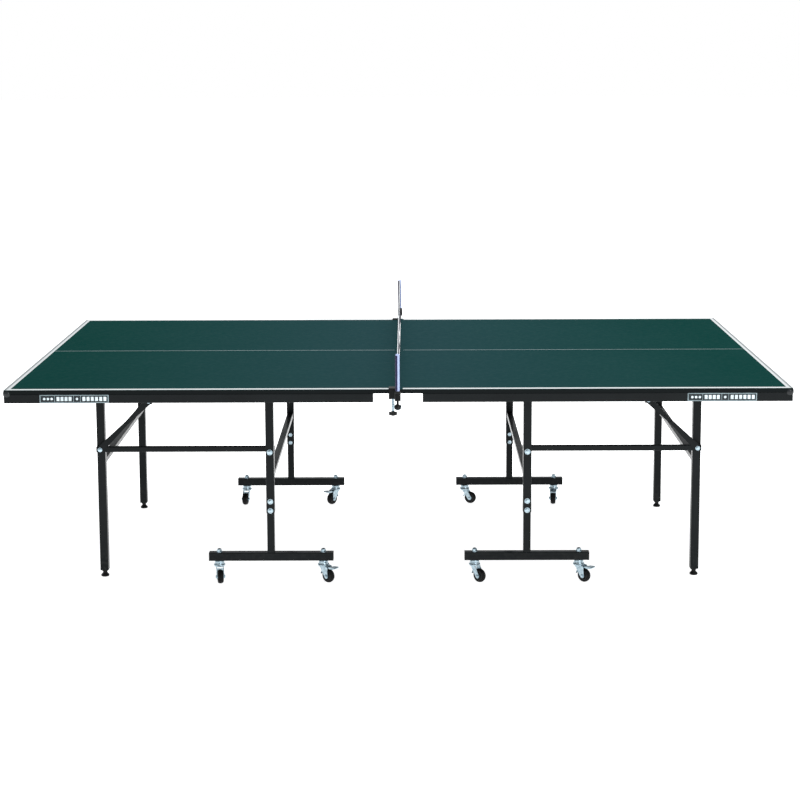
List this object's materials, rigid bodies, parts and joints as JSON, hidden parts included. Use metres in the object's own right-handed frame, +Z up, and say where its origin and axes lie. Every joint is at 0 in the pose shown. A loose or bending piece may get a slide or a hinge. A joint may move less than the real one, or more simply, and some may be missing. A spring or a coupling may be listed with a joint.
{
  "type": "ping pong table",
  "caption": "Full-size folding table tennis table: green boards on a charcoal steel frame, outer legs that swing in, castored T feet and a clamped net on posts.",
  "frame": {"origin": "on the floor, under the middle of the net", "axes": "+X along the table towards the right half, +Y across it to the back, +Z up"},
  "size_m": [2.747, 1.851, 0.9125],
  "materials": {
    "playing_board": "matt dark green lacquer on particle board, white lines",
    "frame_paint": "charcoal powder coat, semi-gloss",
    "zinc": "bright zinc plate",
    "black_plastic": "moulded, fine grain",
    "foot_plastic": "moulded foot on a steel stud",
    "castor_tyre": "black tyre on a plastic hub",
    "net_fabric": "knotted dark blue netting with a white top tape",
    "post_paint": "blue gloss enamel",
    "clamp_paint": "black enamel"
  },
  "bodies": {
    "base_left": {"posts_left": "frame_paint", "foot_bars_left": "frame_paint", "foot_plugs_left": "black_plastic", "base_bolts_left": "zinc"},
    "top_left": {"board_left": "playing_board", "rails_left": "frame_paint", "brackets_left": "frame_paint", "pivot_bolts_left": "zinc", "trim_left": "black_plastic", "net": "net_fabric", "net_posts": "post_paint", "net_clamps": "clamp_paint"},
    "legs_left": {"legs_left": "frame_paint", "leg_bolts_left": "zinc"},
    "links_left": {"link_bars_left": "frame_paint"},
    "brace_lower_left": {"brace_lower_left": "frame_paint"},
    "brace_upper_left": {"brace_upper_left": "frame_paint"},
    "leveller_left_front": {"leveller_left_front": "foot_plastic"},
    "castor_left_front_outer": {"castor_fork_left_front_outer": "zinc"},
    "wheel_left_front_outer": {"castor_wheel_left_front_outer": "castor_tyre"},
    "castor_left_front_inner": {"castor_fork_left_front_inner": "zinc"},
    "wheel_left_front_inner": {"castor_wheel_left_front_inner": "castor_tyre"},
    "pedal_left_front_inner": {"brake_pedal_left_front_inner": "black_plastic"},
    "leveller_left_back": {"leveller_left_back": "foot_plastic"},
    "castor_left_back_outer": {"castor_fork_left_back_outer": "zinc"},
    "wheel_left_back_outer": {"castor_wheel_left_back_outer": "castor_tyre"},
    "castor_left_back_inner": {"castor_fork_left_back_inner": "zinc"},
    "wheel_left_back_inner": {"castor_wheel_left_back_inner": "castor_tyre"},
    "pedal_left_back_inner": {"brake_pedal_left_back_inner": "black_plastic"},
    "base_right": {"posts_right": "frame_paint", "foot_bars_right": "frame_paint", "foot_plugs_right": "black_plastic", "base_bolts_right": "zinc"},
    "top_right": {"board_right": "playing_board", "rails_right": "frame_paint", "brackets_right": "frame_paint", "pivot_bolts_right": "zinc", "trim_right": "black_plastic"},
    "legs_right": {"legs_right": "frame_paint", "leg_bolts_right": "zinc"},
    "links_right": {"link_bars_right": "frame_paint"},
    "brace_lower_right": {"brace_lower_right": "frame_paint"},
    "brace_upper_right": {"brace_upper_right": "frame_paint"},
    "leveller_right_front": {"leveller_right_front": "foot_plastic"},
    "castor_right_front_outer": {"castor_fork_right_front_outer": "zinc"},
    "wheel_right_front_outer": {"castor_wheel_right_front_outer": "castor_tyre"},
    "pedal_right_front_outer": {"brake_pedal_right_front_outer": "black_plastic"},
    "castor_right_front_inner": {"castor_fork_right_front_inner": "zinc"},
    "wheel_right_front_inner": {"castor_wheel_right_front_inner": "castor_tyre"},
    "leveller_right_back": {"leveller_right_back": "foot_plastic"},
    "castor_right_back_outer": {"castor_fork_right_back_outer": "zinc"},
    "wheel_right_back_outer": {"castor_wheel_right_back_outer": "castor_tyre"},
    "pedal_right_back_outer": {"brake_pedal_right_back_outer": "black_plastic"},
    "castor_right_back_inner": {"castor_fork_right_back_inner": "zinc"},
    "wheel_right_back_inner": {"castor_wheel_right_back_inner": "castor_tyre"},
    "clamp_screw_front": {"clamp_screw_front": "zinc"},
    "clamp_knob_front": {"clamp_knob_front": "black_plastic"},
    "clamp_screw_back": {"clamp_screw_back": "zinc"},
    "clamp_knob_back": {"clamp_knob_back": "black_plastic"}
  },
  "joints": [
    {"name": "fold_left", "type": "hinge", "parent": "base_left", "child": "top_left", "pos_m": [-0.466, 0, 0.694], "axis": [0, 1, 0], "range_deg": [0, 90], "deforming": ["net"]},
    {"name": "leg_swing_left", "type": "hinge", "parent": "top_left", "child": "legs_left", "pos_m": [-1.088, 0, 0.694], "axis": [0, 1, 0], "range_deg": [-90, 0]},
    {"name": "link_swing_left", "type": "hinge", "parent": "base_left", "child": "links_left", "pos_m": [-0.466, 0, 0.485], "axis": [0, 1, 0], "range_deg": [0, 90]},
    {"name": "brace_upper_fold_left", "type": "hinge", "parent": "top_left", "child": "brace_upper_left", "pos_m": [-0.905, 0, 0.668], "axis": [0, 1, 0], "range_deg": [0, 61.76]},
    {"name": "brace_lower_fold_left", "type": "hinge", "parent": "legs_left", "child": "brace_lower_left", "pos_m": [-1.088, 0, 0.485], "axis": [0, 1, 0], "range_deg": [-41.62, 0]},
    {"name": "leveller_left_front_turn", "type": "hinge", "parent": "legs_left", "child": "leveller_left_front", "pos_m": [-1.088, -0.465, 0], "axis": [0, 0, 1], "continuous": true},
    {"name": "swivel_left_front_outer", "type": "hinge", "parent": "base_left", "child": "castor_left_front_outer", "pos_m": [-0.656, -0.533, 0.065], "axis": [0, 0, 1], "continuous": true},
    {"name": "spin_left_front_outer", "type": "hinge", "parent": "castor_left_front_outer", "child": "wheel_left_front_outer", "pos_m": [-0.6508, -0.55745, 0.025], "axis": [-0.9781, -0.2079, 0], "continuous": true},
    {"name": "swivel_left_front_inner", "type": "hinge", "parent": "base_left", "child": "castor_left_front_inner", "pos_m": [-0.276, -0.533, 0.065], "axis": [0, 0, 1], "continuous": true},
    {"name": "spin_left_front_inner", "type": "hinge", "parent": "castor_left_front_inner", "child": "wheel_left_front_inner", "pos_m": [-0.25742, -0.54973, 0.025], "axis": [-0.6691, -0.7431, 0], "continuous": true},
    {"name": "brake_left_front_inner", "type": "hinge", "parent": "castor_left_front_inner", "child": "pedal_left_front_inner", "pos_m": [-0.25816, -0.54906, 0.056], "axis": [0.6691, 0.7431, 0], "range_deg": [0, 14]},
    {"name": "leveller_left_back_turn", "type": "hinge", "parent": "legs_left", "child": "leveller_left_back", "pos_m": [-1.088, 0.465, 0], "axis": [0, 0, 1], "continuous": true},
    {"name": "swivel_left_back_outer", "type": "hinge", "parent": "base_left", "child": "castor_left_back_outer", "pos_m": [-0.656, 0.533, 0.065], "axis": [0, 0, 1], "continuous": true},
    {"name": "spin_left_back_outer", "type": "hinge", "parent": "castor_left_back_outer", "child": "wheel_left_back_outer", "pos_m": [-0.66034, 0.50838, 0.025], "axis": [-0.9848, 0.1736, 0], "continuous": true},
    {"name": "swivel_left_back_inner", "type": "hinge", "parent": "base_left", "child": "castor_left_back_inner", "pos_m": [-0.276, 0.533, 0.065], "axis": [0, 0, 1], "continuous": true},
    {"name": "spin_left_back_inner", "type": "hinge", "parent": "castor_left_back_inner", "child": "wheel_left_back_inner", "pos_m": [-0.29139, 0.5133, 0.025], "axis": [-0.788, 0.6157, 0], "continuous": true},
    {"name": "brake_left_back_inner", "type": "hinge", "parent": "castor_left_back_inner", "child": "pedal_left_back_inner", "pos_m": [-0.29078, 0.51409, 0.056], "axis": [0.788, -0.6157, 0], "range_deg": [0, 14]},
    {"name": "roll_apart", "type": "slide", "parent": "base_left", "child": "base_right", "axis": [1, 0, 0], "range_m": [0, 0.6]},
    {"name": "fold_right", "type": "hinge", "parent": "base_right", "child": "top_right", "pos_m": [0.466, 0, 0.694], "axis": [0, -1, 0], "range_deg": [0, 90]},
    {"name": "leg_swing_right", "type": "hinge", "parent": "top_right", "child": "legs_right", "pos_m": [1.088, 0, 0.694], "axis": [0, -1, 0], "range_deg": [-90, 0]},
    {"name": "link_swing_right", "type": "hinge", "parent": "base_right", "child": "links_right", "pos_m": [0.466, 0, 0.485], "axis": [0, -1, 0], "range_deg": [0, 90]},
    {"name": "brace_upper_fold_right", "type": "hinge", "parent": "top_right", "child": "brace_upper_right", "pos_m": [0.905, 0, 0.668], "axis": [0, -1, 0], "range_deg": [0, 61.76]},
    {"name": "brace_lower_fold_right", "type": "hinge", "parent": "legs_right", "child": "brace_lower_right", "pos_m": [1.088, 0, 0.485], "axis": [0, -1, 0], "range_deg": [-41.62, 0]},
    {"name": "leveller_right_front_turn", "type": "hinge", "parent": "legs_right", "child": "leveller_right_front", "pos_m": [1.088, -0.465, 0], "axis": [0, 0, 1], "continuous": true},
    {"name": "swivel_right_front_outer", "type": "hinge", "parent": "base_right", "child": "castor_right_front_outer", "pos_m": [0.656, -0.533, 0.065], "axis": [0, 0, 1], "continuous": true},
    {"name": "spin_right_front_outer", "type": "hinge", "parent": "castor_right_front_outer", "child": "wheel_right_front_outer", "pos_m": [0.67458, -0.54973, 0.025], "axis": [-0.6691, -0.7431, 0], "continuous": true},
    {"name": "brake_right_front_outer", "type": "hinge", "parent": "castor_right_front_outer", "child": "pedal_right_front_outer", "pos_m": [0.67384, -0.54906, 0.056], "axis": [0.6691, 0.7431, 0], "range_deg": [0, 14]},
    {"name": "swivel_right_front_inner", "type": "hinge", "parent": "base_right", "child": "castor_right_front_inner", "pos_m": [0.276, -0.533, 0.065], "axis": [0, 0, 1], "continuous": true},
    {"name": "spin_right_front_inner", "type": "hinge", "parent": "castor_right_front_inner", "child": "wheel_right_front_inner", "pos_m": [0.29368, -0.55068, 0.025], "axis": [-0.7071, -0.7071, 0], "continuous": true},
    {"name": "leveller_right_back_turn", "type": "hinge", "parent": "legs_right", "child": "leveller_right_back", "pos_m": [1.088, 0.465, 0], "axis": [0, 0, 1], "continuous": true},
    {"name": "swivel_right_back_outer", "type": "hinge", "parent": "base_right", "child": "castor_right_back_outer", "pos_m": [0.656, 0.533, 0.065], "axis": [0, 0, 1], "continuous": true},
    {"name": "spin_right_back_outer", "type": "hinge", "parent": "castor_right_back_outer", "child": "wheel_right_back_outer", "pos_m": [0.65252, 0.50824, 0.025], "axis": [-0.9903, 0.1392, 0], "continuous": true},
    {"name": "brake_right_back_outer", "type": "hinge", "parent": "castor_right_back_outer", "child": "pedal_right_back_outer", "pos_m": [0.65266, 0.50923, 0.056], "axis": [0.9903, -0.1392, 0], "range_deg": [0, 14]},
    {"name": "swivel_right_back_inner", "type": "hinge", "parent": "base_right", "child": "castor_right_back_inner", "pos_m": [0.276, 0.533, 0.065], "axis": [0, 0, 1], "continuous": true},
    {"name": "spin_right_back_inner", "type": "hinge", "parent": "castor_right_back_inner", "child": "wheel_right_back_inner", "pos_m": [0.29949, 0.52445, 0.025], "axis": [-0.342, -0.9397, 0], "continuous": true},
    {"name": "clamp_travel_front", "type": "slide", "parent": "top_left", "child": "clamp_screw_front", "axis": [0, 0, 1], "range_m": [-0.0075, 0]},
    {"name": "clamp_turn_front", "type": "hinge", "parent": "clamp_screw_front", "child": "clamp_knob_front", "pos_m": [-0.0175, -0.745, 0.7], "axis": [0, 0, 1], "range_deg": [0, 2160]},
    {"name": "clamp_travel_back", "type": "slide", "parent": "top_left", "child": "clamp_screw_back", "axis": [0, 0, 1], "range_m": [-0.0075, 0]},
    {"name": "clamp_turn_back", "type": "hinge", "parent": "clamp_screw_back", "child": "clamp_knob_back", "pos_m": [-0.0175, 0.745, 0.7], "axis": [0, 0, 1], "range_deg": [0, 2160]}
  ],
  "couplings": [
    {"joint": "leg_swing_left", "follows": "fold_left", "ratio": -1},
    {"joint": "link_swing_left", "follows": "fold_left", "ratio": 1},
    {"joint": "brace_upper_fold_left", "follows": "fold_left", "ratio": 0.68618},
    {"joint": "brace_lower_fold_left", "follows": "fold_left", "ratio": -0.46246},
    {"joint": "leg_swing_right", "follows": "fold_right", "ratio": -1},
    {"joint": "link_swing_right", "follows": "fold_right", "ratio": 1},
    {"joint": "brace_upper_fold_right", "follows": "fold_right", "ratio": 0.68618},
    {"joint": "brace_lower_fold_right", "follows": "fold_right", "ratio": -0.46246},
    {"joint": "clamp_turn_front", "follows": "clamp_travel_front", "rad_per_m": -5026.5},
    {"joint": "clamp_turn_back", "follows": "clamp_travel_back", "rad_per_m": -5026.5}
  ]
}
